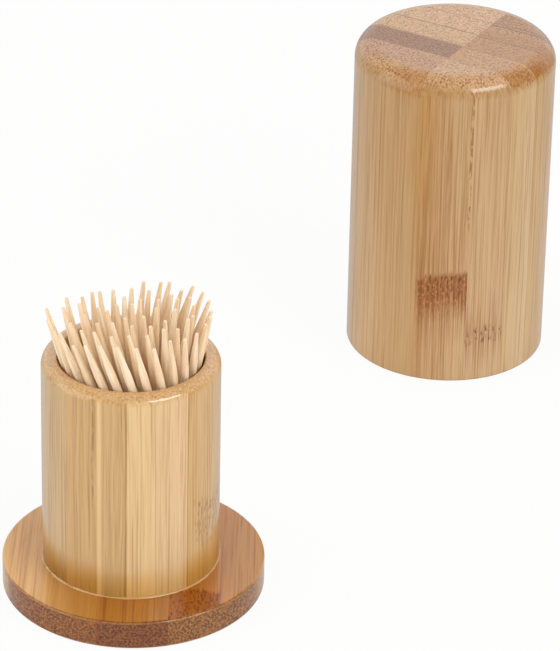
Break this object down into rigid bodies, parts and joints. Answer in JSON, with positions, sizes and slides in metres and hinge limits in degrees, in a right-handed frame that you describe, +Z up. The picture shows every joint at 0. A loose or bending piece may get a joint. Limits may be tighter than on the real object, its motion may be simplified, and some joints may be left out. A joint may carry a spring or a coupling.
{
  "type": "toothpick holder",
  "caption": "Bamboo toothpick holder: a cup on a round base, a lift-off cylindrical cap standing beside it, and round toothpicks.",
  "frame": {"origin": "centre of the base's underside, on the table", "axes": "+Z up, along the cup; -Y is the pictured front of the holder; +X to the right, towards the cap"},
  "size_m": [0.1373, 0.185, 0.0879],
  "materials": {
    "bamboo_base": "caramel-toned laminated bamboo, fine grain front to back, dotted end grain on the rim, glossy clear lacquer",
    "bamboo_cup": "warm tan laminated bamboo with upright grain, glossy clear lacquer",
    "bamboo_cap": "tan laminated bamboo with upright grain and dotted end grain on top, brown knots, satin clear lacquer",
    "glue_bead": "clear lacquer and glue pooled in the corner, glossy",
    "toothpick_bamboo": "pale raw bamboo, turned smooth, matt"
  },
  "bodies": {
    "holder": {"base_strip_1": "bamboo_base", "base_strip_2": "bamboo_base", "base_strip_3": "bamboo_base", "cup_front_strip_1": "bamboo_cup", "cup_front_strip_2": "bamboo_cup", "cup_front_strip_3": "bamboo_cup", "cup_front_strip_4": "bamboo_cup", "cup_front_strip_5": "bamboo_cup", "cup_front_strip_6": "bamboo_cup", "cup_back_strip_1": "bamboo_cup", "cup_back_strip_2": "bamboo_cup", "cup_back_strip_3": "bamboo_cup", "cup_back_strip_4": "bamboo_cup", "cup_back_strip_5": "bamboo_cup", "cup_back_strip_6": "bamboo_cup", "foot_glue_bead": "glue_bead"},
    "cap": {"cap_left_strip_1": "bamboo_cap", "cap_left_strip_2": "bamboo_cap", "cap_left_strip_3": "bamboo_cap", "cap_left_strip_4": "bamboo_cap", "cap_left_strip_5": "bamboo_cap", "cap_left_strip_6": "bamboo_cap", "cap_left_strip_7": "bamboo_cap", "cap_right_strip_1": "bamboo_cap", "cap_right_strip_2": "bamboo_cap", "cap_right_strip_3": "bamboo_cap", "cap_right_strip_4": "bamboo_cap", "cap_right_strip_5": "bamboo_cap", "cap_right_strip_6": "bamboo_cap", "cap_right_strip_7": "bamboo_cap"},
    "toothpick_bundle": {"toothpicks_front": "toothpick_bamboo", "toothpicks_left": "toothpick_bamboo", "toothpicks_right": "toothpick_bamboo", "toothpicks_middle_front": "toothpick_bamboo", "toothpicks_middle_back": "toothpick_bamboo"},
    "toothpick_1": {"loose_toothpick_1": "toothpick_bamboo"},
    "toothpick_2": {"loose_toothpick_2": "toothpick_bamboo"},
    "toothpick_3": {"loose_toothpick_3": "toothpick_bamboo"},
    "toothpick_4": {"loose_toothpick_4": "toothpick_bamboo"},
    "toothpick_5": {"loose_toothpick_5": "toothpick_bamboo"},
    "toothpick_6": {"loose_toothpick_6": "toothpick_bamboo"},
    "toothpick_7": {"loose_toothpick_7": "toothpick_bamboo"},
    "toothpick_8": {"loose_toothpick_8": "toothpick_bamboo"}
  },
  "joints": [
    {"name": "cap_lift", "type": "slide", "parent": "holder", "child": "cap", "axis": [0, 0, 1], "range_m": [0, 0.072]},
    {"name": "bundle_lift", "type": "slide", "parent": "holder", "child": "toothpick_bundle", "axis": [0, 0, 1], "range_m": [0, 0.055]},
    {"name": "toothpick_1_pull", "type": "slide", "parent": "toothpick_bundle", "child": "toothpick_1", "axis": [-0.3443, 0.1446, 0.9276], "range_m": [0, 0.066]},
    {"name": "toothpick_2_pull", "type": "slide", "parent": "toothpick_bundle", "child": "toothpick_2", "axis": [0.0116, -0.2939, 0.9558], "range_m": [0, 0.066]},
    {"name": "toothpick_3_pull", "type": "slide", "parent": "toothpick_bundle", "child": "toothpick_3", "axis": [-0.119, -0.2118, 0.97], "range_m": [0, 0.066]},
    {"name": "toothpick_4_pull", "type": "slide", "parent": "toothpick_bundle", "child": "toothpick_4", "axis": [0.1913, -0.1616, 0.9681], "range_m": [0, 0.066]},
    {"name": "toothpick_5_pull", "type": "slide", "parent": "toothpick_bundle", "child": "toothpick_5", "axis": [0.1282, -0.1248, 0.9839], "range_m": [0, 0.066]},
    {"name": "toothpick_6_pull", "type": "slide", "parent": "toothpick_bundle", "child": "toothpick_6", "axis": [-0.1093, 0.1424, 0.9838], "range_m": [0, 0.066]},
    {"name": "toothpick_7_pull", "type": "slide", "parent": "toothpick_bundle", "child": "toothpick_7", "axis": [-0.1384, -0.1421, 0.9801], "range_m": [0, 0.066]},
    {"name": "toothpick_8_pull", "type": "slide", "parent": "toothpick_bundle", "child": "toothpick_8", "axis": [0.0695, -0.0751, 0.9948], "range_m": [0, 0.066]}
  ]
}
